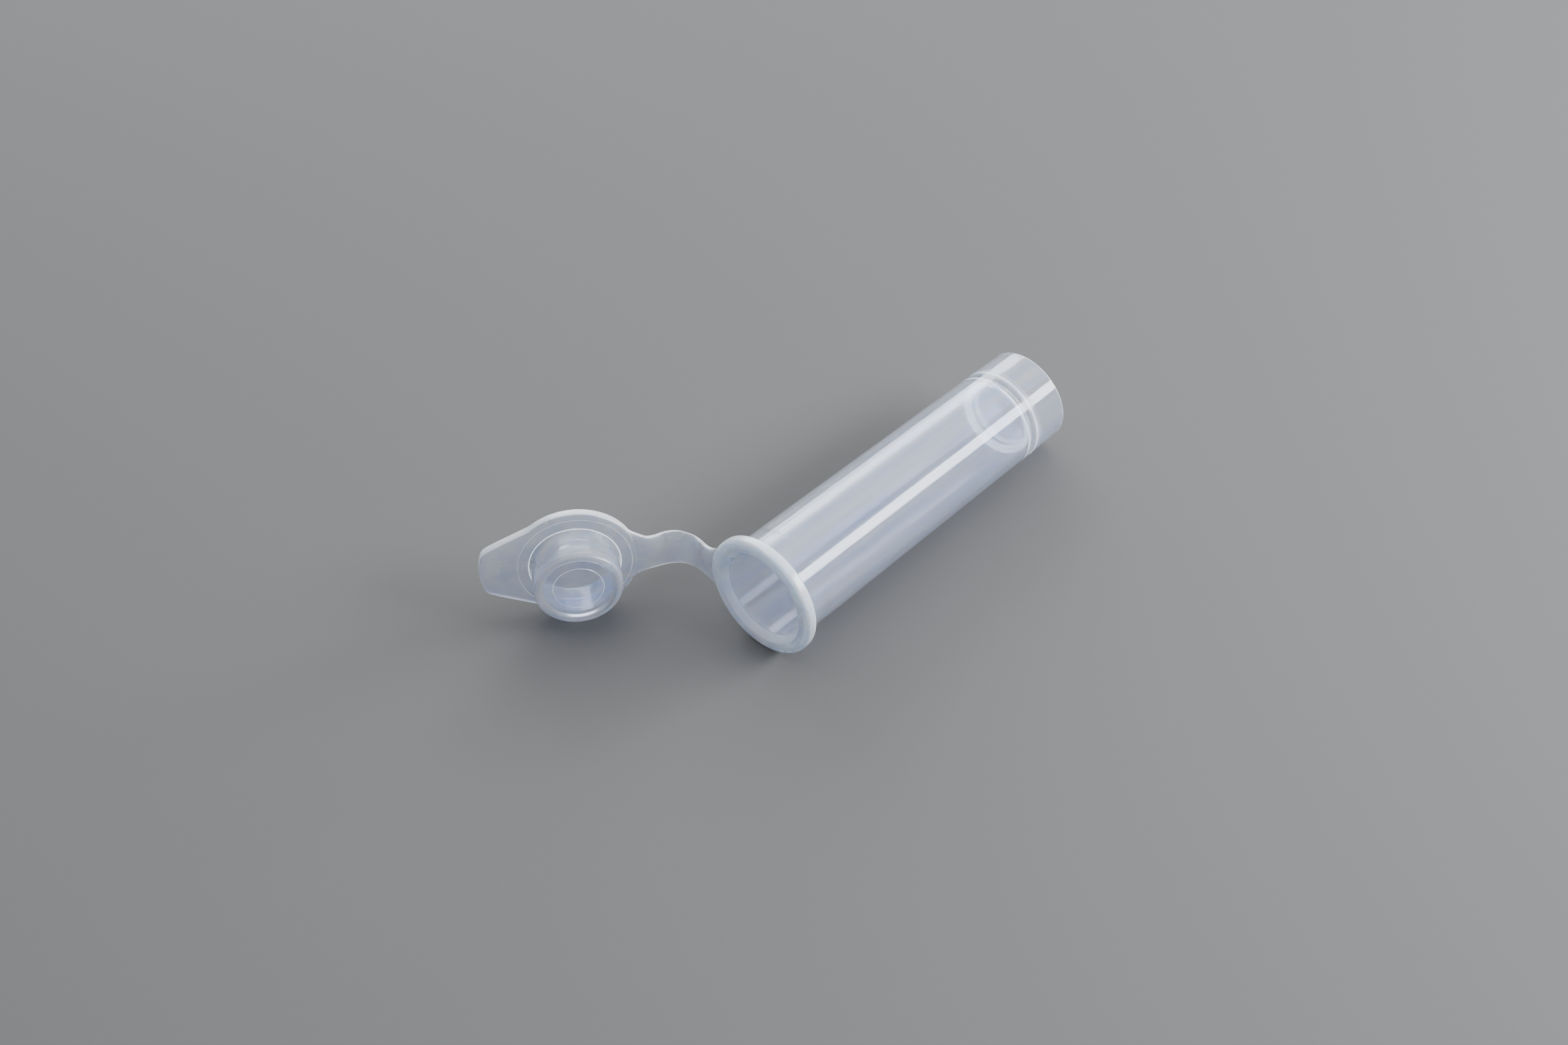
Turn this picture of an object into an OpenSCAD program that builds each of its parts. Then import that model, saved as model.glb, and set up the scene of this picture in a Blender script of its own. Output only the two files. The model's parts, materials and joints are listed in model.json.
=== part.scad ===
// Self-standing microcentrifuge tube with a captive push-in lid.
// +X runs along the barrel towards the mouth, and the lid hangs open on the -Y side.
// The origin is on the barrel's axis, in the plane of the flange's rear face.

/* [Barrel] */
// Overall length from the skirt's end to the mouth
tube_len = 40.4; // [38:0.1:44]
// Outer radius of the neck below the flange
neck_r = 5.4; // [5.3:0.05:5.6]
// Length of the straight neck below the flange
neck_len = 3; // [2:0.1:5]
// Outer radius at the skirt's end
base_r = 4.99; // [4.9:0.01:5.2]
// Radius of the straight bore that the plug seals in
bore_r = 4.5; // [4.5:0.01:4.6]
// Bore radius just above the floor
bore_base_r = 4.25; // [4.1:0.01:4.4]

/* [Mouth] */
// Radius of the flange
flange_r = 6.45; // [6.3:0.05:6.7]
// Thickness of the flange
flange_t = 1.35; // [1.2:0.05:1.5]
// Radius of the lead-in at the mouth's front face
lead_r = 5.18; // [5:0.01:5.3]
// Depth of the lead-in
lead_depth = 0.67; // [0.5:0.01:0.8]
// Width of the bevel on the flange's edges
flange_bevel = 0.22; // [0.1:0.01:0.3]

/* [Base] */
// Free height of the skirt below the floor's rim
skirt_len = 3.85; // [3:0.05:5]
// Inner radius of the skirt
skirt_bore_r = 4.4; // [4.3:0.01:4.5]
// Thickness of the floor
floor_t = 1; // [0.8:0.05:1.2]
// Depth of the dish in the middle of the floor
dish_depth = 1.4; // [1:0.05:2]
// Radius of the dish at its rim
dish_r = 3.5; // [3:0.05:4]

/* [Lid] */
// Radius of the lid's plate
plate_r = 6.28; // [6.1:0.01:6.4]
// Thickness of the plate, its tab and the strap's two ends
plate_t = 1.05; // [0.9:0.05:1.1]
// Height of the low step on the plug's side of the plate
step_h = 0.05; // [0.03:0.01:0.08]
// Radius of that step
step_r = 5.72; // [5.5:0.01:5.9]
// Reach of the thumb tab from the plate's centre
tab_reach = 9.4; // [8.5:0.1:10]
// Distance of the tab's straight sides from the plate's centre
tab_side = 6.06; // [5.9:0.01:6.15]
// Angle from the tab's own direction to the normal of each side
tab_taper = 66.2; // [64:0.1:68]

/* [Plug] */
// Radius of the plug's wall
plug_r = 4.36; // [4.3:0.01:4.36]
// Radius of the sealing bead near the plug's end
bead_r = 4.42; // [4.38:0.01:4.42]
// Radius of the plug where it meets the plate
plug_root_r = 4.5; // [4.4:0.01:4.5]
// Length of the plug from the plate to its end
plug_len = 3.8; // [3.6:0.05:3.8]
// Inner radius of the plug's hollow
hollow_r = 3.7; // [3.6:0.01:3.8]
// Thickness of the plug's closed end
end_t = 0.75; // [0.6:0.05:0.9]
// Radius of the low round land on the plug's end
land_r = 2.51; // [2.4:0.01:2.6]
// Height of that land
land_h = 0.06; // [0.04:0.01:0.08]

/* [Hidden] */
$fn = 96;

// The barrel's stations along X
skirt_end_x = flange_t - tube_len;
floor_low_x = skirt_end_x + skirt_len;
floor_top_x = floor_low_x + floor_t;
// Outer radius of the drafted wall at any station below the neck
function outer_r(x) = neck_r + (neck_r - base_r) * (x + neck_len) / (-neck_len - skirt_end_x);

// Hinge lines of the strap, all parallel to Z: at the flange, at the fold, at the lid
hinge_flange = [0.5, -7.1];
hinge_fold = [0.75, -10.2];
hinge_lid = [3.3, -12.15];
// Running direction of the strap at each hinge, in degrees from +X
run_flange = -95;
run_fold = -76;
run_lid = -18;
// Notch angles on the front and the back of each hinge, which let the strap bend both ways
notch_flange = [17, 39];
notch_fold = [4, 45];
notch_lid = [4, 25];
// Least gap left across a hinge line
hinge_gap = 0.06;
// Size of the blocks that cut the strap at a hinge
cut = 14;

// Centre of the plate's face on the plug's side, and the angle of the plug's axis from +X
lid_centre = [9.4, -17.19];
lid_angle = 50.9;
// Tall enough to pass through every solid
tall = 20;

// Heights above the plate: the plug's root, where its wall is plain, and the bead's foot, low and
// high edges and nose
root_h = 0.5;
wall_h = 0.8;
bead_foot_h = 2.4;
bead_low_h = 2.8;
bead_high_h = 3.1;
nose_h = 3.5;
// How far the root, the nose and the tip draw in from the widest radius beside them
root_draft = 0.1;
nose_in = 0.14;
tip_in = 0.47;
// Small bevel between the plug's lip and its hollow
lip_in = 0.1;
lip_h = 0.15;
// How far the closed end is set back inside the lip, and the height of its face
end_set_back = 0.3;
end_face_h = plug_len - end_set_back;

// Where the tab's outline starts, inside the plate, and its half width at any distance out
tab_start = 3;
function side_y(x) = (tab_side - x * cos(tab_taper)) / sin(tab_taper);

// The strap from the flange to the plate: front face x and y, half width, thickness
strap = [
    [1.35, -4.95, 3.96, 1],
    [1.35, -5.36, 3.31, 1],
    [1.35, -5.99, 2.52, 1],
    [1.28, -6.71, 2.06, 0.98],
    [1.19, -7.29, 1.88, 0.93],
    [1, -8.09, 1.9, 0.87],
    [0.75, -8.8, 1.99, 0.75],
    [0.6, -9.39, 2.06, 0.55],
    [0.67, -10.23, 2.05, 0.32],
    [0.94, -10.88, 2.1, 0.42],
    [1.42, -11.32, 2.08, 0.62],
    [1.97, -11.71, 2.05, 0.8],
    [2.63, -11.97, 2, 0.92],
    [3.37, -12.17, 1.96, 1],
    [3.9, -12.57, 2.05, 1.03],
    [4.37, -13.02, 2.36, 1.05],
    [4.84, -13.46, 2.66, 1.05],
    [5.4, -13.94, 3.52, 1.05]
];
last = len(strap) - 1;
function face(i) = [strap[i][0], strap[i][1]];
function ahead(i) = face(min(i + 1, last)) - face(max(i - 1, 0));
// A point on the back of the strap, square to the front face
function behind(i) = face(i) + strap[i][3] * [ahead(i)[1], -ahead(i)[0]] / norm(ahead(i));

// Turns a profile of [radius, X] about the barrel's axis
module turned() {
    rotate([90, 0, 90]) rotate_extrude() children();
}

// Places children drawn with the plug's axis along +Z and the tab along +X
module on_lid() {
    translate([lid_centre[0], lid_centre[1], 0])
        rotate([0, 0, lid_angle - 90])
            rotate([-90, 0, 0])
                children();
}

// The whole strap, as a bent band cut to its width outline
module strap_band() {
    intersection() {
        translate([0, 0, -tall / 2]) linear_extrude(tall)
            polygon(concat([for (i = [0:last]) face(i)], [for (i = [last:-1:0]) behind(i)]));
        translate([-tall / 2, 0, 0]) rotate([90, 0, 90]) linear_extrude(tall)
            polygon(concat([for (i = [0:last]) [strap[i][1], strap[i][2]]],
                           [for (i = [last:-1:0]) [strap[i][1], -strap[i][2]]]));
    }
}

// The space on one side of a hinge: side is 1 towards the lid and -1 towards the flange
module beside_hinge(hinge, run, notch, side) {
    way = side * [cos(run), sin(run)];
    start = hinge + way * hinge_gap / 2;
    front_ray = run + 90 - side * notch[0] / 2;
    back_ray = run - 90 + side * notch[1] / 2;
    front_end = start + cut * [cos(front_ray), sin(front_ray)];
    back_end = start + cut * [cos(back_ray), sin(back_ray)];
    translate([0, 0, -tall / 2]) linear_extrude(tall)
        polygon([start, front_end, front_end + cut * way, back_end + cut * way, back_end]);
}

module mouth_flange() {
    color([0.86, 0.9, 0.96, 0.7])
        turned() polygon([
            [bore_r, 0],
            [flange_r - flange_bevel, 0],
            [flange_r, flange_bevel],
            [flange_r, flange_t - flange_bevel],
            [flange_r - flange_bevel, flange_t],
            [lead_r, flange_t],
            [bore_r, flange_t - lead_depth]
        ]);
}

module neck() {
    color([0.84, 0.89, 0.95, 0.6])
        turned() polygon([
            [bore_r, -neck_len],
            [neck_r, -neck_len],
            [neck_r, 0],
            [bore_r, 0]
        ]);
}

module barrel_wall() {
    color([0.8, 0.86, 0.93, 0.5])
        turned() polygon([
            [bore_base_r, floor_top_x],
            [outer_r(floor_top_x), floor_top_x],
            [neck_r, -neck_len],
            [bore_r, -neck_len]
        ]);
}

module barrel_floor() {
    // Radius of the ball whose cap is the dish
    ball_r = (dish_r * dish_r + dish_depth * dish_depth) / (2 * dish_depth);
    color([0.84, 0.88, 0.95, 0.6]) {
        difference() {
            turned() polygon([
                [0, floor_low_x],
                [outer_r(floor_low_x), floor_low_x],
                [outer_r(floor_top_x), floor_top_x],
                [0, floor_top_x]
            ]);
            translate([floor_top_x - dish_depth + ball_r, 0, 0]) sphere(ball_r);
        }
        intersection() {
            difference() {
                translate([floor_top_x - dish_depth + ball_r, 0, 0]) sphere(ball_r + floor_t);
                translate([floor_top_x - dish_depth + ball_r, 0, 0]) sphere(ball_r);
            }
            translate([floor_low_x - tall, 0, 0]) rotate([0, 90, 0])
                cylinder(h = tall, r = dish_r + floor_t);
        }
    }
}

module base_skirt() {
    color([0.84, 0.9, 0.95, 0.45])
        turned() polygon([
            [skirt_bore_r, skirt_end_x],
            [base_r, skirt_end_x],
            [outer_r(floor_low_x), floor_low_x],
            [skirt_bore_r, floor_low_x]
        ]);
}

module strap_root() {
    color([0.88, 0.92, 0.97, 0.75])
        difference() {
            intersection() {
                strap_band();
                beside_hinge(hinge_flange, run_flange, notch_flange, -1);
            }
            rotate([0, 90, 0]) cylinder(h = tall, r = flange_r, center = true);
        }
}

module strap_near() {
    color([0.86, 0.9, 0.97, 0.65])
        intersection() {
            strap_band();
            beside_hinge(hinge_flange, run_flange, notch_flange, 1);
            beside_hinge(hinge_fold, run_fold, notch_fold, -1);
        }
}

module strap_far() {
    color([0.82, 0.88, 0.96, 0.65])
        intersection() {
            strap_band();
            beside_hinge(hinge_fold, run_fold, notch_fold, 1);
            beside_hinge(hinge_lid, run_lid, notch_lid, -1);
        }
}

module lid_strap_end() {
    color([0.88, 0.92, 0.97, 0.75])
        difference() {
            intersection() {
                strap_band();
                beside_hinge(hinge_lid, run_lid, notch_lid, 1);
            }
            on_lid() cylinder(h = tall, r = plate_r, center = true);
        }
}

module lid_plate() {
    color([0.88, 0.92, 0.98, 0.75])
        on_lid() rotate_extrude() polygon([
            [hollow_r, -plate_t],
            [plate_r, -plate_t],
            [plate_r, -step_h],
            [step_r, -step_h],
            [step_r, 0],
            [hollow_r, 0]
        ]);
}

module thumb_tab() {
    color([0.88, 0.92, 0.98, 0.75])
        on_lid() translate([0, 0, -plate_t]) linear_extrude(plate_t - step_h) difference() {
            intersection() {
                polygon([
                    [tab_start, side_y(tab_start)],
                    [tab_reach, side_y(tab_reach)],
                    [tab_reach, -side_y(tab_reach)],
                    [tab_start, -side_y(tab_start)]
                ]);
                circle(tab_reach);
            }
            circle(plate_r);
        }
}

module plug_wall() {
    color([0.9, 0.93, 0.98, 0.7])
        on_lid() rotate_extrude() polygon([
            [hollow_r, 0],
            [plug_root_r, 0],
            [plug_root_r - root_draft, root_h],
            [plug_r, wall_h],
            [plug_r, bead_foot_h],
            [bead_r, bead_low_h],
            [bead_r, bead_high_h],
            [bead_r - nose_in, nose_h],
            [bead_r - tip_in, plug_len],
            [hollow_r + lip_in, plug_len],
            [hollow_r, plug_len - lip_h]
        ]);
}

module plug_end() {
    color([0.8, 0.85, 0.93, 0.5])
        on_lid() rotate_extrude() polygon([
            [0, end_face_h - end_t],
            [hollow_r, end_face_h - end_t],
            [hollow_r, end_face_h],
            [land_r, end_face_h],
            [land_r, end_face_h + land_h],
            [0, end_face_h + land_h]
        ]);
}

mouth_flange();
neck();
barrel_wall();
barrel_floor();
base_skirt();
strap_root();
strap_near();
strap_far();
lid_strap_end();
lid_plate();
thumb_tab();
plug_wall();
plug_end();
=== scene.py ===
# %% [markdown]
# # A microcentrifuge tube with its lid open
# The real object is one moulding in milky polypropylene: a long barrel with a flange at its mouth,
# a hollow floor inside an open skirt, and a round lid that hangs on a thin bending strap.
# The CAD model is the frame: its bodies say what moves, and its boxes say where everything is.
# This lesson replaces the CAD solids with smooth surfaces and gives them see-through finishes.

# %% Load the frame and the tools
import json
import math

import bpy
import numpy as np
from mathutils import Matrix, Vector


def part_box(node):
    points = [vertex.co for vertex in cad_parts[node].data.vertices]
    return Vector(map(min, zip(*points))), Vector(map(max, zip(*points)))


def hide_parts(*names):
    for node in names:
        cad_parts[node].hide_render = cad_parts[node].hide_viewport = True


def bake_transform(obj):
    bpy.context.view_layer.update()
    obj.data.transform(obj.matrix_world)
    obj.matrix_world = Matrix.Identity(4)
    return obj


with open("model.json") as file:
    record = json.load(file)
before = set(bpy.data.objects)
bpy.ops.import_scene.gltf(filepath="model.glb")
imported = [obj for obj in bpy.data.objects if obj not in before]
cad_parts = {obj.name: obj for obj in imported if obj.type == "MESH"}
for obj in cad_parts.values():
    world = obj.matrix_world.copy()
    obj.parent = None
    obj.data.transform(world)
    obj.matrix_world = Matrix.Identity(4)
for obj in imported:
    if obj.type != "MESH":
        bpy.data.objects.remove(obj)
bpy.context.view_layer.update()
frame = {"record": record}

MM = 0.001

# %% [markdown]
# ## From arrays to meshes
# Every piece is a surface worked out as a whole array. A grid of points has rows along one
# parameter and columns round the other, so its faces follow from the row and column numbers and
# never have to be listed. A fan of triangles shuts each end, and the mesh is closed.


# %% Turn a grid of points into a closed mesh
def grid_faces(rows, columns):
    """Quads between each row and the next, with the last column joined back to the first."""
    row, column = np.meshgrid(np.arange(rows - 1), np.arange(columns), indexing="ij")
    here = row * columns + column
    right = row * columns + (column + 1) % columns
    return np.stack([here, right, right + columns, here + columns], axis=-1).reshape(-1, 4)


def cap_faces(first, columns, centre, flip):
    """Triangles from one row of a grid to a single centre point."""
    ring = first + np.arange(columns)
    after = first + (np.arange(columns) + 1) % columns
    tip = np.full(columns, centre)
    return np.stack([after, ring, tip] if flip else [ring, after, tip], axis=-1)


def volume_mm3(mesh):
    """The signed volume inside a mesh: a sixth of each triangle's triple product, summed."""
    mesh.calc_loop_triangles()
    xyz = np.empty(len(mesh.vertices) * 3)
    mesh.vertices.foreach_get("co", xyz)
    index = np.empty(len(mesh.loop_triangles) * 3, dtype=np.int64)
    mesh.loop_triangles.foreach_get("vertices", index)
    a, b, c = np.moveaxis(xyz.reshape(-1, 3)[index.reshape(-1, 3)], 1, 0)
    return float(np.einsum("ij,ij->i", a, np.cross(b, c)).sum() / 6 / MM**3)


def closed_surface(name, points, start, end):
    """A closed object in metres from a grid (rows, columns, 3) in mm and the two points that shut
    it. A skin that faces inwards encloses a negative volume, and is turned round."""
    rows, columns = points.shape[:2]
    vertices = np.concatenate([points.reshape(-1, 3), [start, end]]) * MM
    fans = np.concatenate([
        cap_faces(0, columns, rows * columns, True),
        cap_faces((rows - 1) * columns, columns, rows * columns + 1, False),
    ])
    mesh = bpy.data.meshes.new(name)
    mesh.from_pydata(vertices.tolist(), [], grid_faces(rows, columns).tolist() + fans.tolist())
    if volume_mm3(mesh) < 0:
        mesh.flip_normals()
    mesh.update()
    piece = bpy.data.objects.new(name, mesh)
    bpy.context.scene.collection.objects.link(piece)
    print(name, "holds", round(volume_mm3(mesh), 2), "mm3")
    return piece


def soften(piece, degrees=32):
    """Smooth shading everywhere except across creases sharper than the angle."""
    piece.data.shade_smooth()
    piece.data.set_sharp_from_angle(angle=math.radians(degrees))


# %% [markdown]
# ## Profiles with rounded corners
# A moulded edge is never sharp. A profile is drawn with a few corners, and each corner is traded
# for a small arc that touches both of its sides. Long sides are split into short steps, so that
# the surface has points wherever it may need to bend or catch light.


# %% Round the corners of a drawn line
def rounded(corners, radii, step=0.5, arc_steps=7):
    """A dense line through corners, each replaced by an arc of its radius.

    The arc touches a side at radius times the tangent of half the turn from the corner, and its
    centre lies on the corner's bisector, at radius over the cosine of half the turn."""
    corners = np.array(corners, float)
    line = [corners[:1]]
    for before, corner, after, radius in zip(corners[:-2], corners[1:-1], corners[2:], radii):
        into = (corner - before) / np.linalg.norm(corner - before)
        away = (after - corner) / np.linalg.norm(after - corner)
        turn = math.acos(float(np.clip(into @ away, -1, 1)))
        if radius <= 0 or turn < 0.02:
            line.append(corner[None])
            continue
        inward = (away - into) / np.linalg.norm(away - into)
        centre = corner + inward * radius / math.cos(turn / 2)
        angle = np.linspace(-turn / 2, turn / 2, arc_steps)[:, None]
        along = (into + away) / np.linalg.norm(into + away)
        line.append(centre - radius * (np.cos(angle) * inward - np.sin(angle) * along))
    line = np.concatenate(line + [corners[-1:]])
    gap = np.linalg.norm(np.diff(line, axis=0), axis=1)
    counts = np.maximum(1, np.ceil(gap / step).astype(int))
    place = np.concatenate([i + np.arange(n) / n for i, n in enumerate(counts)] + [[len(gap)]])
    return np.stack([np.interp(place, np.arange(len(line)), line[:, k]) for k in (0, 1)], axis=1)


# %% [markdown]
# ## Where things are
# The frame gives the stations: the flange's thickness, the length of the neck, the skirt's end,
# the plate of the lid. Reading them from the CAD boxes keeps this file and the frame in step.


# %% Read the stations from the frame
def box_mm(node):
    """Lowest and highest corner of a CAD node, in mm."""
    low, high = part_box(node)
    return np.array(low) / MM, np.array(high) / MM


flange_high = box_mm("mouth_flange")[1]
neck_low, neck_high = box_mm("neck")
skirt_low, skirt_high = box_mm("base_skirt")
floor_low, floor_high = box_mm("barrel_floor")
plate_high = box_mm("lid_plate")[1]

mouth_x = flange_high[0]
flange_r = flange_high[2]
neck_r = neck_high[2]
neck_x = neck_low[0]
skirt_x = skirt_low[0]
floor_rim_x = floor_high[0]
floor_under_x = skirt_high[0]
floor_tip_x = floor_low[0]
plate_r = plate_high[2]
print("mouth at", round(mouth_x, 2), "skirt's end at", round(skirt_x, 2), "mm")

# %% [markdown]
# ## The barrel
# A turned part is its profile swept round its axis. This one starts on the axis inside the tube,
# crosses the dished floor, climbs the bore to the bevelled mouth, rounds the flange, runs down the
# outside to the skirt's end, and comes back inside the skirt to the axis under the floor. One
# closed skin has no seam for light to catch on, which matters in a see-through material.


# %% Draw the barrel's profile
def ball_arc(rim_r, tip_x, rim_x, count=14):
    """Points of a circle centred on the axis, from its tip on the axis to its rim: x and r."""
    depth = rim_x - tip_x
    ball = (rim_r**2 + depth**2) / (2 * depth)
    r = rim_r * np.sin(np.linspace(0, math.pi / 2, count))
    return np.stack([tip_x + ball - np.sqrt(ball**2 - r**2), r], axis=1)


floor_t = floor_rim_x - floor_under_x
dish_r, under_dish_r = 3.5, 3.88
bore_floor_r, bore_neck_r, bore_r = 4.25, 4.47, 4.5
bevel_depth, bevel_r = 0.67, 5.18
lip_r, lip_foot_r, lip_h = 5.72, 5.8, 0.05
skirt_r, skirt_bore_r, skirt_top_r = 4.99, 4.42, 4.36
inside_dish = ball_arc(dish_r, floor_tip_x + floor_t, floor_rim_x)
under_dish = ball_arc(under_dish_r, floor_tip_x, floor_under_x)
wall_line = rounded(
    [
        inside_dish[-1], (floor_rim_x, bore_floor_r), (neck_x, bore_neck_r),
        (neck_x + 0.12, bore_r), (mouth_x - bevel_depth, bore_r), (mouth_x, bevel_r),
        (mouth_x, lip_r), (mouth_x - lip_h, lip_foot_r), (mouth_x - lip_h, flange_r),
        (0, flange_r), (0, neck_r), (neck_x, neck_r), (skirt_x, skirt_r),
        (skirt_x, skirt_bore_r), (floor_under_x, skirt_top_r), under_dish[-1],
    ],
    radii=[0.6, 0, 0, 0.12, 0.14, 0.04, 0.04, 0.42, 0.4, 0.14, 0, 0.14, 0.14, 0.35],
)
barrel_line = np.concatenate([inside_dish[1:-1], wall_line, under_dish[-2:0:-1]])
print("barrel profile:", len(barrel_line), "points")


# %% Sweep it round the barrel's axis
def turned(line, columns):
    """Each profile point (x, r) goes to (x, r cos a, r sin a) for every angle a."""
    a = np.linspace(0, 2 * math.pi, columns, endpoint=False)
    x = np.repeat(line[:, :1], columns, axis=1)
    return np.stack([x, line[:, 1:] * np.cos(a), line[:, 1:] * np.sin(a)], axis=-1)


barrel = closed_surface(
    "barrel_skin", turned(barrel_line, columns=224),
    start=(inside_dish[0, 0], 0, 0), end=(under_dish[0, 0], 0, 0),
)

# %% [markdown]
# ## The strap
# The strap is a thin band that leaves the flange, turns at a thin fold and runs out to the lid. It
# is a rounded cross-section carried along a path: the path is the line of the band's front face,
# and a table gives the width and the thickness as the band goes. It is thinnest at the fold.


# %% The strap's path, widths and thicknesses
# front face x and y, half width, thickness, all in mm
strap_stations = np.array([
    [1.12, -5.05, 3.80, 0.86], [1.12, -5.40, 3.30, 0.88], [1.12, -6.40, 2.30, 0.9],
    [1.05, -7.60, 1.90, 0.87], [0.80, -8.72, 1.98, 0.72], [0.63, -9.50, 2.05, 0.48],
    [0.73, -10.30, 2.07, 0.34], [1.18, -11.08, 2.09, 0.52], [1.97, -11.67, 2.05, 0.78],
    [2.93, -12.08, 1.98, 0.88], [3.85, -12.64, 2.08, 0.88], [4.74, -13.55, 2.75, 0.86],
    [5.70, -14.36, 4.10, 0.85],
])
strap_gaps = np.linalg.norm(np.diff(strap_stations[:, :2], axis=0), axis=1)
strap_place = np.concatenate([[0], np.cumsum(strap_gaps)])


def along_strap(distance):
    """A cubic between neighbouring stations: each stretch leaves and arrives with the slope of the
    stations on either side, so the path, its direction and its width all run on smoothly."""
    slope = np.gradient(strap_stations, strap_place, axis=0)
    i = np.clip(np.searchsorted(strap_place, distance, side="right") - 1, 0, len(strap_place) - 2)
    gap = strap_gaps[i][:, None]
    t = (distance - strap_place[i])[:, None] / gap
    before = strap_stations[i] * (1 - t) ** 2 * (1 + 2 * t)
    after = strap_stations[i + 1] * t**2 * (3 - 2 * t)
    return before + after + gap * t * (1 - t) * (slope[i] * (1 - t) - slope[i + 1] * t)


print("the strap is", round(strap_place[-1], 1), "mm long and", strap_stations[:, 3].min(), "mm thin")


# %% Carry a rounded section along the path
side_power, depth_power = 0.35, 0.75
fullness = 0.98  # share of the table's thickness that the section fills


def strap_piece(name, begin, finish, rows, columns=72, edge=0.2):
    """The band from one distance along the strap to another.

    At each row a point goes round a rectangle with rounded corners. Sideways it is the corner
    times a cosine, plus the rest of the half width times that cosine raised to a low power, which
    keeps it near one until the corner. The depth is the same with a sine. Depth is measured from
    the front face along the path's own normal."""
    rows_at = along_strap(np.linspace(begin, finish, rows))
    way = np.gradient(rows_at[:, :2], axis=0)
    way /= np.linalg.norm(way, axis=1, keepdims=True)
    back = np.stack([way[:, 1], -way[:, 0]], axis=1)
    a = np.linspace(0, 2 * math.pi, columns, endpoint=False) + math.pi / columns
    reach = np.minimum(edge, 0.45 * rows_at[:, 3])[:, None]
    side = np.sign(np.cos(a)) * np.abs(np.cos(a)) ** side_power
    depth = np.sign(np.sin(a)) * np.abs(np.sin(a)) ** depth_power
    half_t = rows_at[:, 3:] / 2
    across = (rows_at[:, 2:3] - reach) * side + reach * np.cos(a)
    deep = half_t + (half_t - reach) * depth * fullness + reach * np.sin(a) * fullness
    points = np.stack([
        rows_at[:, :1] + back[:, :1] * deep,
        rows_at[:, 1:2] + back[:, 1:] * deep,
        across,
    ], axis=-1)
    return closed_surface(name, points, points[0].mean(axis=0), points[-1].mean(axis=0))


near_split, far_split = 3.4, 7.35
hair = 0.002  # keeps the end faces of two skins out of one plane
root_band = strap_piece("strap_root_skin", 0, near_split - hair, rows=90)
fold_band = strap_piece("strap_fold_skin", near_split, far_split, rows=110)
lid_band = strap_piece("strap_lid_skin", far_split + hair, strap_place[-1], rows=90)

# %% [markdown]
# ## The lid
# The plate, its thumb tab and the plug are one surface too. Round the plug's axis the profile is
# the same at every angle except at the rim: there the radius follows the outline, which is a
# circle, pulled out into a tapering tab on one side. The plug is a cup: its hollow opens on the
# plate's far side, and its closed end has a low round land in the middle.


# %% The lid's own axes
lid_angle = math.radians(50.9)  # from the barrel's axis to the plug's
lid_centre = np.array([9.4, -17.19, 0.0])  # where the plug's axis meets the plate's face
plug_way = np.array([math.cos(lid_angle), math.sin(lid_angle), 0.0])
tab_way = np.array([math.sin(lid_angle), -math.cos(lid_angle), 0.0])
up_way = np.array([0.0, 0.0, 1.0])
print("the plug points along", plug_way.round(3))


# %% The outline of the plate and its tab
tab_normal = math.radians(66.2)  # from the tab's middle line to the normal of its side
tab_side, tab_end = 6.06, 9.42  # distances from the plug's axis, in mm
tab_corner, tab_root = 0.55, 0.06  # widths over which the outline's corners are blended
tab_cosine = 0.3  # the tab lies only where the cosine of the angle is above this
least_cosine = 0.05  # keeps a ray that runs along a side from dividing by zero


def soft_min(a, b, blend):
    """The smaller of two values, with the corner between them rounded over a width."""
    return 0.5 * (a + b - np.sqrt((a - b) ** 2 + blend**2))


def soft_max(a, b, blend):
    """The larger of two values, rounded in the same way."""
    return 0.5 * (a + b + np.sqrt((a - b) ** 2 + blend**2))


def outline(a):
    """Distance from the plug's axis to the rim at angle a from the tab.

    A straight side is a line at a fixed distance from the axis: along a ray it is that distance
    over the cosine of the angle between the ray and the side's normal. The tab is the nearer of
    its two sides and its curved end, and the plate is whichever of tab and circle is further."""
    turns = (tab_normal, -tab_normal)
    sides = [tab_side / np.maximum(np.cos(a - turn), least_cosine) for turn in turns]
    facing = np.minimum(*sides)
    tab = soft_min(facing, tab_end + 0 * a, tab_corner)
    tab = np.where(np.cos(a) > tab_cosine, tab, 0)
    return soft_max(tab, plate_r + 0 * a, tab_root)


print("rim from", round(float(outline(np.array([math.pi]))[0]), 2), "to",
      round(float(outline(np.array([0.0]))[0]), 2), "mm")

# %% The lid's profile and surface
# heights are measured from the plate's face towards the plug's end, all in mm
plug_end_h, plug_end_t, plug_lip_h = 3.5, 0.75, 3.8
hollow_r, plate_t = 3.7, 1.05
step_h, step_foot_r, step_r = 0.08, 5.8, 5.66
plug_root_r, plug_neck_r, plug_wall_r, bead_r = 4.5, 4.38, 4.36, 4.43
plug_neck_h, plug_wall_h, bead_h = 0.7, 2.3, 2.8
lip_in_r, cup_r = 3.8, 3.42
land_h, land_foot_r, land_r = 0.06, 2.56, 2.51
lid_line = rounded(
    [
        (0, plug_end_h - plug_end_t), (hollow_r, plug_end_h - plug_end_t), (hollow_r, -plate_t),
        (plate_r, -plate_t), (plate_r, -step_h), (step_foot_r, -step_h), (step_r, 0),
        (plug_root_r, 0), (plug_neck_r, plug_neck_h), (plug_wall_r, plug_wall_h), (bead_r, bead_h),
        (plug_wall_r, plug_lip_h), (lip_in_r, plug_lip_h), (cup_r, plug_end_h),
        (land_foot_r, plug_end_h), (land_r, plug_end_h + land_h), (0, plug_end_h + land_h),
    ],
    radii=[0.3, 0.15, 0.2, 0.2, 0.03, 0.03, 0.12, 0.3, 0.5, 0.5, 0.36, 0.2, 0.12, 0.03, 0.03],
    step=0.3,
)


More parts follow.
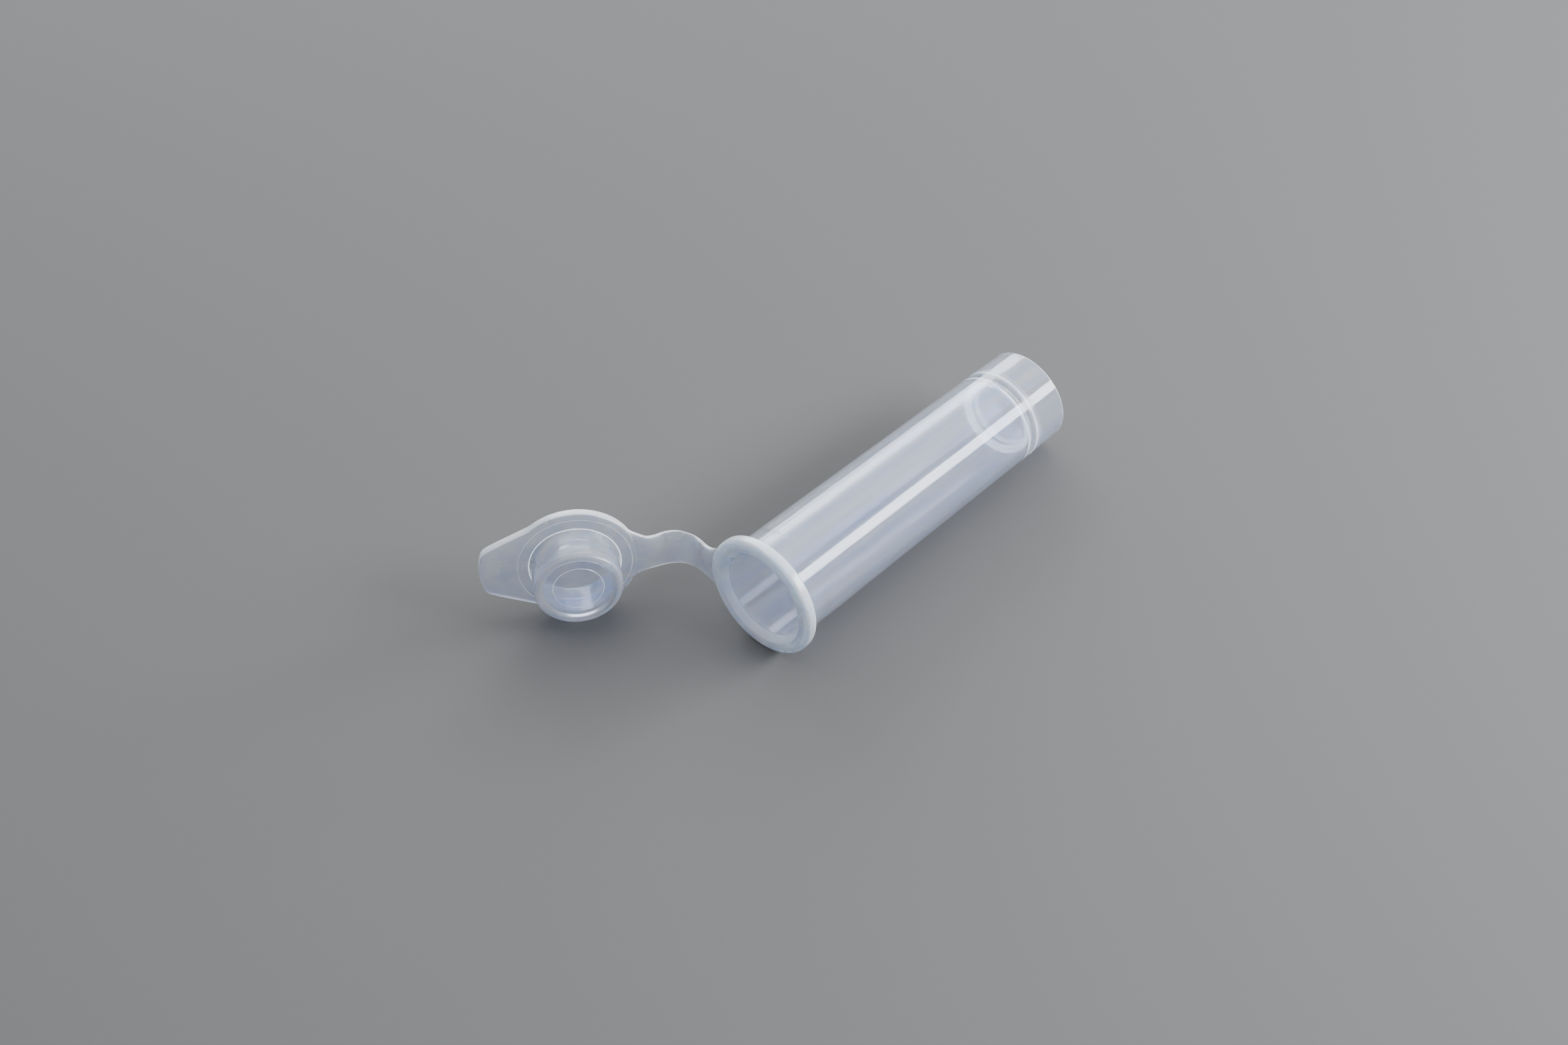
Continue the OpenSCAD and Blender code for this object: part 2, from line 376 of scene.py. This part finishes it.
# %% Carry the profile round the outline
crowding = 0.16  # how far, in radians, an angle is shifted towards the tab
fade_in = 0.2  # mm over which the outline takes over from the circle


def lid_surface(line, columns):
    """Each profile point (r, h) goes out along its angle to r, plus what the outline adds there.

    The addition fades in just outside the step, so the plug and the step stay round. The angles
    are crowded towards the tab, where the outline turns fastest, by taking off a little sine."""
    a = np.linspace(0, 2 * math.pi, columns, endpoint=False)
    a = a - crowding * np.sin(a)
    r, h = line[:, :1], line[:, 1:]
    share = np.clip((r - step_foot_r) / fade_in, 0, 1)
    rim = r + share * (outline(a) - plate_r)
    return (
        lid_centre
        + (rim * np.cos(a))[..., None] * tab_way
        + (rim * np.sin(a))[..., None] * up_way
        + (h + 0 * a)[..., None] * plug_way
    )


lid = closed_surface(
    "lid_skin", lid_surface(lid_line[1:-1], columns=256),
    start=lid_centre + lid_line[0, 1] * plug_way, end=lid_centre + lid_line[-1, 1] * plug_way,
)

# %% [markdown]
# ## Joining the strap to what it grows from
# In the moulding the strap grows out of the flange at one end and out of the plate at the other,
# with no wall between them. A Boolean union does this: it keeps only the outer skin of the two
# shapes. It is done here once, and the joined mesh replaces the first one.


# %% Unite two closed skins
def unite(keep, other):
    """Replaces keep's mesh with the union of both, and removes other."""
    step = keep.modifiers.new("unite", "BOOLEAN")
    step.operation, step.solver, step.object = "UNION", "EXACT", other
    joined = bpy.data.meshes.new_from_object(keep.evaluated_get(bpy.context.evaluated_depsgraph_get()))
    keep.modifiers.remove(step)
    keep.data = joined
    bpy.data.objects.remove(other)
    return keep


tube = unite(barrel, root_band)
lid = unite(lid, lid_band)
tube.name, lid.name = "tube_skin", "lid_skin"
for piece in (tube, lid, fold_band):
    soften(piece)
    print(piece.name, len(piece.data.polygons), "faces,", round(volume_mm3(piece.data), 1), "mm3")

# %% [markdown]
# ## Looks: milky polypropylene
# Thin polypropylene lets light through but scatters some of it, so it looks bluish white, with
# soft highlights. Each finish here is a see-through surface mixed with some scattering below it,
# and the finishes differ in the share of each. Flow during moulding leaves faint streaks along the
# barrel. The streaks and the clouds are wanted in every finish, so they are one node group.


# %% A node group for moulded plastic
streak_scale, cloud_scale = 900, 260  # how many noise cells to the metre


def moulded_group():
    """Stretched noise for flow streaks and round noise for clouds, as two values from 0 to 1."""
    group = bpy.data.node_groups.new("moulded_flow", "ShaderNodeTree")
    sockets = group.interface
    sockets.new_socket("Stretch", in_out="INPUT", socket_type="NodeSocketFloat")
    sockets.new_socket("Fineness", in_out="INPUT", socket_type="NodeSocketFloat")
    sockets.new_socket("Streaks", in_out="OUTPUT", socket_type="NodeSocketFloat")
    sockets.new_socket("Clouds", in_out="OUTPUT", socket_type="NodeSocketFloat")
    nodes, links = group.nodes, group.links
    come, go = nodes.new("NodeGroupInput"), nodes.new("NodeGroupOutput")
    place = nodes.new("ShaderNodeTexCoord")
    ratio = nodes.new("ShaderNodeCombineXYZ")
    ratio.inputs[1].default_value = ratio.inputs[2].default_value = 1
    links.new(come.outputs["Stretch"], ratio.inputs[0])
    squeeze = nodes.new("ShaderNodeVectorMath")
    squeeze.operation = "MULTIPLY"
    links.new(place.outputs["Object"], squeeze.inputs[0])
    links.new(ratio.outputs[0], squeeze.inputs[1])
    streak, cloud = nodes.new("ShaderNodeTexNoise"), nodes.new("ShaderNodeTexNoise")
    links.new(squeeze.outputs[0], streak.inputs["Vector"])
    links.new(come.outputs["Fineness"], streak.inputs["Scale"])
    links.new(place.outputs["Object"], cloud.inputs["Vector"])
    cloud.inputs["Scale"].default_value = cloud_scale
    streak.inputs["Detail"].default_value = 3
    cloud.inputs["Detail"].default_value = 2
    links.new(streak.outputs[0], go.inputs["Streaks"])
    links.new(cloud.outputs[0], go.inputs["Clouds"])
    return group


flow = moulded_group()
print("group outputs:", [item.name for item in flow.interface.items_tree if item.in_out == "OUTPUT"])


# %% Make a finish
scatter = 1.5  # mm that scattered light spreads under the surface


def plastic(name, clear, rough, tints, stretch, streak_bump):
    """A milky see-through plastic.

    clear is the share of light that goes through the surface instead of scattering under it,
    rough the lowest and highest roughness, tints the colours between the streaks and in them,
    stretch how much the streaks' pattern is squeezed along the barrel (a low value makes them
    long), and streak_bump the streaks' height in mm."""
    material = bpy.data.materials.new(name)
    material.use_nodes = True
    nodes, links = material.node_tree.nodes, material.node_tree.links
    shader = nodes["Principled BSDF"]
    shader.inputs["IOR"].default_value = 1.49
    shader.inputs["Transmission Weight"].default_value = clear
    shader.inputs["Subsurface Weight"].default_value = 1
    shader.inputs["Subsurface Radius"].default_value = (0.8, 1.0, 1.25)  # blue spreads furthest
    shader.inputs["Subsurface Scale"].default_value = scatter * MM
    group = nodes.new("ShaderNodeGroup")
    group.node_tree = flow
    group.inputs["Stretch"].default_value = stretch
    group.inputs["Fineness"].default_value = streak_scale
    spread = nodes.new("ShaderNodeMapRange")
    spread.inputs["From Min"].default_value = 0.3
    spread.inputs["From Max"].default_value = 0.7
    spread.inputs["To Min"].default_value = rough[0]
    spread.inputs["To Max"].default_value = rough[1]
    links.new(group.outputs["Clouds"], spread.inputs["Value"])
    links.new(spread.outputs[0], shader.inputs["Roughness"])
    contrast = nodes.new("ShaderNodeMapRange")
    contrast.inputs["From Min"].default_value = 0.35
    contrast.inputs["From Max"].default_value = 0.65
    links.new(group.outputs["Streaks"], contrast.inputs["Value"])
    colours = nodes.new("ShaderNodeMix")
    colours.data_type = "RGBA"
    colours.inputs[6].default_value = (*tints[0], 1)
    colours.inputs[7].default_value = (*tints[1], 1)
    links.new(contrast.outputs[0], colours.inputs[0])
    links.new(colours.outputs[2], shader.inputs["Base Color"])
    bump = nodes.new("ShaderNodeBump")
    bump.inputs["Distance"].default_value = streak_bump * MM
    links.new(group.outputs["Streaks"], bump.inputs["Height"])
    links.new(bump.outputs[0], shader.inputs["Normal"])
    return material


clear_finish = plastic(
    "clear_polypropylene", clear=0.87, rough=(0.03, 0.1),
    tints=((0.66, 0.73, 0.98), (0.88, 0.91, 1.0)), stretch=0.05, streak_bump=0.005,
)
frosted_finish = plastic(
    "frosted_polypropylene", clear=0.84, rough=(0.2, 0.3),
    tints=((0.74, 0.79, 0.97), (0.88, 0.9, 1.0)), stretch=0.6, streak_bump=0.005,
)
milky_finish = plastic(
    "milky_polypropylene", clear=0.54, rough=(0.2, 0.3),
    tints=((0.75, 0.8, 0.97), (0.85, 0.89, 1.0)), stretch=0.6, streak_bump=0.005,
)
# the whitest finish; below it also gets a painted glow, light it gives off of its own
white_glow_finish = plastic(
    "thick_polypropylene_painted_glow", clear=0.25, rough=(0.25, 0.35),
    tints=((0.88, 0.91, 0.98), (0.95, 0.97, 1.0)), stretch=0.6, streak_bump=0.005,
)
print("finishes:", [f.name for f in (clear_finish, frosted_finish, milky_finish, white_glow_finish)])

# %% [markdown]
# Where the floor meets the wall the plastic is thick, and it gathers light from all round like a
# light pipe. Few of the renderer's rays find that way in, so the finish there gives off light of its
# own, enough for the ring to show through the wall in front of it.

# %% A painted glow on the thickest plastic and on the lid's hairlines
# painted glow: this emission stands in for light gathered in the thick ring and for highlights on the
# lid's hairlines
glow = white_glow_finish.node_tree.nodes["Principled BSDF"]
glow.inputs["Emission Color"].default_value = (0.9, 0.95, 1, 1)
glow.inputs["Emission Strength"].default_value = 0.7
print("glow strength:", round(glow.inputs["Emission Strength"].default_value, 2))

# %% [markdown]
# The strap is one length of plastic, but it bends in three places and a skin can bend in only one,
# so it is made as three skins end to end. Where two of them meet, nothing may show inside the
# plastic: those end faces get a finish that is not there at all.

# %% A finish for the faces where two skins meet
joined_finish = bpy.data.materials.new("joined_face")
joined_finish.use_nodes = True
joined_finish.node_tree.nodes["Principled BSDF"].inputs["Alpha"].default_value = 0
print("unseen finish:", joined_finish.name)

# %% [markdown]
# ## Which face gets which finish
# The barrel and the plug's wall are polished and clear. The lid and the strap are frosted, and so is
# the band of wall round the floor. The flange, the skirt's end and every thin edge are milkier,
# because there the light comes through a longer way of plastic. The fillet round the floor is the
# whitest and has a painted glow, and so do three hairlines on the lid, as a painted highlight where a
# small step or corner catches the light.
# A face's finish is chosen from where its centre is and which way it looks, with limits in mm that
# are a little wider than the fillet or the edge they are for.


# %% Give the faces their finishes
def face_values(piece, value):
    """A vector of each face, such as its center or its normal, one row a face."""
    rows = np.empty(len(piece.data.polygons) * 3)
    piece.data.polygons.foreach_get(value, rows)
    return rows.reshape(-1, 3)


def is_joined(piece, split):
    """True for the faces that lie in the plane across the strap at a distance along it."""
    here, ahead = along_strap(np.array([split, split + 0.01]))[:, :2]
    way = np.append((ahead - here) / np.linalg.norm(ahead - here), 0)
    off_plane = (face_values(piece, "center") / MM - np.append(here, 0)) @ way
    return (np.abs(off_plane) < 0.02) & (np.abs(face_values(piece, "normal") @ way) > 0.98)


def paint(piece, choices, splits):
    """Puts the finishes on a piece. Everything is frosted but the faces that a choice marks true,
    a later choice winning over an earlier one, and the faces at the splits, which are not seen."""
    index = np.zeros(len(piece.data.polygons), np.int32)
    finishes = [frosted_finish, *choices, joined_finish]
    for number, chosen in enumerate(choices.values(), 1):
        index[chosen] = number
    for split in splits:
        index[is_joined(piece, split)] = len(finishes) - 1
    piece.data.materials.clear()
    for finish in finishes:
        piece.data.materials.append(finish)
    piece.data.polygons.foreach_set("material_index", index)
    print(piece.name, "faces of each finish:", np.bincount(index, minlength=len(finishes)).tolist())


def is_edge(piece):
    """True for the faces of the strap's thin edges: those that look up or down."""
    return np.abs(face_values(piece, "normal")[:, 2]) > 0.75


# %% Choose the faces on the tube
on_tube = face_values(tube, "center") / MM
tube_x, tube_reach = on_tube[:, 0], np.hypot(on_tube[:, 1], on_tube[:, 2])
in_ring = (np.abs(tube_x - floor_rim_x + 0.3) < 0.9) & (tube_reach > 3.45) & (tube_reach < 4.24)
on_foot = tube_x < skirt_x + 0.14
on_band = (tube_reach > flange_r + 0.02) & is_edge(tube)
on_base = (tube_x > floor_under_x) & (tube_x < floor_rim_x) & (tube_reach > 4.6)
in_bore = tube_reach < 4.6
on_barrel = (tube_x < -0.02) & (tube_reach < 5.5)
on_flange = (tube_x > -0.02) & ~in_bore & (tube_reach < flange_r + 0.02)
paint(tube, {
    clear_finish: (on_barrel | in_bore) & ~on_base,
    milky_finish: on_flange | on_band | on_foot,
    # the fillet round the floor gets the white finish with its painted glow
    white_glow_finish: in_ring,
}, [near_split])

# %% Choose the faces on the lid and the strap
on_lid = face_values(lid, "center") / MM - lid_centre
plug_h, plug_reach = on_lid @ plug_way, np.hypot(on_lid @ tab_way, on_lid[:, 2])
lip = (plug_h > 3.3) & (plug_reach > 3.45) & (plug_reach < 4.5)
on_plug = (plug_reach < 4.55) & (plug_h > 0.02)
in_hollow = plug_reach < 3.75
on_rim = (np.abs(face_values(lid, "normal") @ plug_way) < 0.6) & (plug_reach > 5.9)
# hairlines at the step, the plug's root and the land: a painted highlight from the glowing white
# finish
on_step = (np.abs(plug_reach - step_r) < 0.035) & (np.abs(plug_h) < 0.03)
on_root = (np.abs(plug_reach - plug_root_r - 0.07) < 0.04) & (np.abs(plug_h) < 0.05)
on_land = (np.abs(plug_reach - land_r) < 0.03) & (np.abs(plug_h - plug_end_h - land_h) < 0.02)
paint(lid, {
    clear_finish: (on_plug | in_hollow) & ~lip,
    milky_finish: on_rim,
    # painted highlight: the three hairlines glow with the white finish
    white_glow_finish: on_step | on_root | on_land,
}, [far_split])
paint(fold_band, {milky_finish: is_edge(fold_band)}, [near_split, far_split])

# %% [markdown]
# ## Putting the pieces in place of the CAD nodes
# The strap bends in three places, and each skin spans one of them: the tube's skin, which ends part
# of the way along the strap, the fold's skin, and the lid's skin. Each skin's placement is baked into
# its mesh, and the CAD nodes it stands for are hidden.


# %% Bake each skin and hide the CAD nodes it replaces
hinge = {joint["name"]: joint for joint in frame["record"]["behaviour"]["joints"]}


def across(joint, run, reach):
    """Two points, in metres, on either side of a hinge line: along a direction in degrees from the
    barrel's axis, and at a reach in mm."""
    middle = np.array(hinge[joint]["pos_m"])
    way = np.array([math.cos(math.radians(run)), math.sin(math.radians(run)), 0]) * reach * MM
    return tuple(middle - way), tuple(middle + way)


for piece, bodies, bend, nodes, finish in (
    (tube, ("tube", "strap_near"), across("flange_bend", run=-92, reach=0.45),
     ("mouth_flange", "neck", "barrel_wall", "barrel_floor", "base_skirt", "strap_root"), "clear_pp"),
    (fold_band, ("strap_near", "strap_far"), across("strap_fold", run=-70, reach=0.6),
     ("strap_near", "strap_far"), "frosted_pp"),
    (lid, ("strap_far", "lid"), across("lid_bend", run=-25, reach=0.5),
     ("lid_strap_end", "lid_plate", "thumb_tab", "plug_wall", "plug_end"), "frosted_pp"),
):
    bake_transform(piece)
    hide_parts(*nodes)
    print(piece.name, "bends between", bodies)

# %% [markdown]
# ## The floor
# The tube lies on its flange and on the skirt's end, so its axis leans a little, and the lid's
# plate touches the floor at its lower edge. Those three points make the floor's plane.


# %% Lay the floor through the three points of contact
floor_gap = 0.02  # mm below the points of contact
touch = np.array([
    [flange_high[0] / 2, 0, -flange_r],
    [skirt_x, 0, -skirt_r],
    [*lid_centre[:2], -plate_r],
])
floor_normal = np.cross(touch[1] - touch[0], touch[2] - touch[0])
floor_normal /= np.linalg.norm(floor_normal) * np.sign(floor_normal[2])
print("floor's normal:", floor_normal.round(4))


def flat_floor(half, count=21):
    """A square of points with z solved from the plane: normal dot (point - contact) is zero."""
    x, y = np.meshgrid(*[np.linspace(-half, half, count)] * 2, indexing="ij")
    base = touch[0] - floor_gap * floor_normal
    z = base[2] - (floor_normal[0] * (x - base[0]) + floor_normal[1] * (y - base[1])) / floor_normal[2]
    row, column = np.meshgrid(np.arange(count - 1), np.arange(count - 1), indexing="ij")
    here = row * count + column
    faces = np.stack([here, here + count, here + count + 1, here + 1], axis=-1).reshape(-1, 4)
    mesh = bpy.data.meshes.new("floor")
    mesh.from_pydata((np.stack([x, y, z], axis=-1).reshape(-1, 3) * MM).tolist(), [], faces.tolist())
    ground = bpy.data.objects.new("floor", mesh)
    bpy.context.scene.collection.objects.link(ground)
    return ground


floor = flat_floor(half=900)
floor_finish = bpy.data.materials.new("pale_floor")
floor_finish.use_nodes = True
floor_shader = floor_finish.node_tree.nodes["Principled BSDF"]
floor_shader.inputs["Base Color"].default_value = (0.092, 0.09, 0.088, 1)
floor_shader.inputs["Roughness"].default_value = 0.9
floor_shader.inputs["Specular IOR Level"].default_value = 0.2
floor.data.materials.append(floor_finish)

# %% [markdown]
# ## Light and camera
# Big soft lights suit a glossy object: each becomes a broad highlight. The first is narrow, and its
# reflection is the bright stripe along the barrel. The second is wide and hangs overhead, the third
# shines through the plastic from behind, and the world fills the shadows. All are faintly blue.


# %% Soft lights
def soft_light(name, way, distance, size, watts, target=(-14, -3, 0)):
    """A rectangular area light in a direction from a target, turned to face it, in mm. Its longer
    side is as near along the barrel as it can be, so that its reflection runs along the barrel."""
    lamp = bpy.data.lights.new(name, "AREA")
    lamp.shape = "RECTANGLE"
    lamp.size = size[0] * MM
    lamp.size_y = size[1] * MM
    lamp.energy = watts
    lamp.color = (0.92, 0.95, 1)
    light = bpy.data.objects.new(name, lamp)
    bpy.context.scene.collection.objects.link(light)
    way = Vector(way).normalized()
    light.location = (Vector(target) + way * distance) * MM
    across_light = way.cross(Vector((1, 0, 0))).normalized()
    along_light = across_light.cross(way)
    light.rotation_euler = Matrix((along_light, across_light, way)).transposed().to_euler()
    return light


soft_light("stripe_light", (-0.58, 0.67, 0.44), distance=300, size=(330, 88), watts=3.2)
soft_light("top_light", (-0.2, -0.25, 1), distance=500, size=(1000, 900), watts=7.0)
soft_light("back_light", (-0.5, -0.75, 0.45), distance=330, size=(300, 160), watts=1.4)
world = bpy.data.worlds.new("soft_room")
world.use_nodes = True
world.node_tree.nodes["Background"].inputs[0].default_value = (0.9, 0.95, 1.0, 1)
world.node_tree.nodes["Background"].inputs[1].default_value = 0.42
bpy.context.scene.world = world

# %% [markdown]
# The camera looks down on the mouth from the front with a long lens, so the skirt at the far end is
# only a little smaller than the flange at the near end.

# %% The camera
lens = bpy.data.cameras.new("camera")
lens.sensor_fit = "HORIZONTAL"
lens.sensor_width = 36
lens.lens = 76.98
lens.clip_start, lens.clip_end = 0.01, 10
camera = bpy.data.objects.new("camera", lens)
camera.location = (0.16873, 0.16917, 0.21989)
camera.rotation_euler = [math.radians(v) for v in (48.496, 2.25, 132.644)]
bpy.context.scene.collection.objects.link(camera)
bpy.context.scene.camera = camera
print("camera", round(camera.location.length / MM), "mm from the flange")
